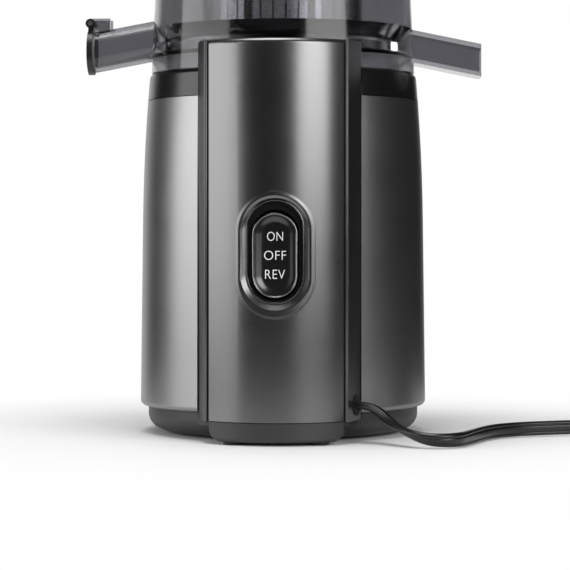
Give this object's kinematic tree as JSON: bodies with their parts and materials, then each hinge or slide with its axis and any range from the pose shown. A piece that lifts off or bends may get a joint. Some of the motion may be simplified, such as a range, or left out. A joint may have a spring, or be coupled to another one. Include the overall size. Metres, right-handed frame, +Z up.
{
  "type": "slow juicer",
  "caption": "Upright slow juicer: round motor base with a switch column, geared auger in a clear bowl with a strainer, juice and pulp spouts, twist lid with feed chute, pusher and lead.",
  "frame": {"origin": "on the spindle axis, on the surface that the feet stand on", "axes": "+Z up along the spindle, -Y towards the switch, -X towards the juice spout, +X towards the pulp spout"},
  "size_m": [0.4057, 0.2164, 0.3906],
  "materials": {
    "satin_charcoal": "satin, fine moulded texture",
    "column_charcoal": "satin, smoother than the flanks",
    "frame_dark": "matte",
    "gloss_black": "polished",
    "rocker_black": "soft satin with white print",
    "pan_dark": "matte",
    "foot_rubber": "matte",
    "screw_steel": "zinc plated",
    "switch_plastic": "moulded",
    "board_green": "coated board",
    "motor_steel": "plain",
    "cast_alloy": "as cast",
    "bronze": "sintered",
    "ferrite": "fired",
    "carbon": "pressed",
    "copper": "enamelled",
    "ground_steel": "ground",
    "nylon_white": "moulded",
    "fan_plastic": "moulded",
    "seal_silicone": "soft",
    "smoke_clear": "clear smoke tint",
    "strainer_plastic": "moulded",
    "screen_steel": "etched",
    "auger_plastic": "satin",
    "cord_black": "satin sheath",
    "tie_black": "soft strap",
    "blade_brass": "plated"
  },
  "bodies": {
    "base": {"front_shell": "satin_charcoal", "rear_shell": "satin_charcoal", "switch_column_cover": "column_charcoal", "far_column_cover": "column_charcoal", "switch_column_frame": "frame_dark", "far_column_frame": "frame_dark", "top_collar": "gloss_black", "switch_bezel": "gloss_black", "base_pan": "pan_dark", "rubber_feet": "foot_rubber", "cord_grommet": "foot_rubber", "pan_screws": "screw_steel", "board_screws": "screw_steel", "motor_screws": "screw_steel", "gearbox_screws": "screw_steel", "rocker_pin": "screw_steel", "switch_body": "switch_plastic", "brush_holder": "switch_plastic", "control_board": "board_green", "motor_can": "motor_steel", "motor_end_bell": "cast_alloy", "gearbox_housing": "cast_alloy", "gearbox_cover": "cast_alloy", "motor_bushes": "bronze", "output_bushes": "bronze", "motor_magnets": "ferrite", "carbon_brushes": "carbon", "idler_pin": "ground_steel", "shaft_seal": "seal_silicone", "power_cord": "cord_black", "cord_coil": "cord_black", "plug_body": "cord_black", "coil_tie": "tie_black", "plug_blades": "blade_brass"},
    "rocker": {"rocker": "rocker_black"},
    "rotor": {"rotor_core": "motor_steel", "rotor_windings": "copper", "commutator": "copper", "rotor_shaft": "ground_steel", "motor_pinion": "ground_steel", "cooling_fan": "fan_plastic"},
    "idler": {"idler_gear": "nylon_white", "idler_pinion": "ground_steel"},
    "output": {"output_gear": "nylon_white", "drive_shaft": "ground_steel"},
    "bowl": {"juice_bowl": "smoke_clear", "bowl_seal": "seal_silicone", "strainer_frame": "strainer_plastic", "strainer_screen": "screen_steel", "cap_pin": "screw_steel"},
    "auger": {"auger": "auger_plastic", "auger_socket": "ground_steel"},
    "spout_cap": {"spout_cap": "auger_plastic", "cap_gasket": "seal_silicone"},
    "lid": {"lid": "smoke_clear", "lid_gasket": "seal_silicone"},
    "pusher": {"pusher": "auger_plastic"}
  },
  "joints": [
    {"name": "rocker_tilt", "type": "hinge", "parent": "base", "child": "rocker", "pos_m": [0, -0.0936, 0.1055], "axis": [1, 0, 0], "range_deg": [-8, 8]},
    {"name": "rotor_spin", "type": "hinge", "parent": "base", "child": "rotor", "pos_m": [0, 0, 0], "axis": [0, 0, 1], "continuous": true},
    {"name": "idler_spin", "type": "hinge", "parent": "base", "child": "idler", "pos_m": [0.036, 0, 0], "axis": [0, 0, 1], "continuous": true},
    {"name": "output_spin", "type": "hinge", "parent": "base", "child": "output", "pos_m": [0, 0, 0], "axis": [0, 0, 1], "continuous": true},
    {"name": "bowl_lift", "type": "slide", "parent": "base", "child": "bowl", "axis": [0, 0, 1], "range_m": [0, 0.1]},
    {"name": "auger_spin", "type": "hinge", "parent": "bowl", "child": "auger", "pos_m": [0, 0, 0], "axis": [0, 0, 1], "continuous": true},
    {"name": "spout_cap_swing", "type": "hinge", "parent": "bowl", "child": "spout_cap", "pos_m": [-0.115, 0, 0.243], "axis": [0, 1, 0], "range_deg": [0, 100]},
    {"name": "lid_twist", "type": "hinge", "parent": "bowl", "child": "lid", "pos_m": [0, 0, 0], "axis": [0, 0, 1], "range_deg": [0, 35]},
    {"name": "pusher_slide", "type": "slide", "parent": "lid", "child": "pusher", "axis": [0, 0, 1], "range_m": [0, 0.07]}
  ],
  "couplings": [
    {"joint": "idler_spin", "follows": "rotor_spin", "ratio": -0.2},
    {"joint": "output_spin", "follows": "rotor_spin", "ratio": 0.04},
    {"joint": "auger_spin", "follows": "rotor_spin", "ratio": 0.04}
  ]
}
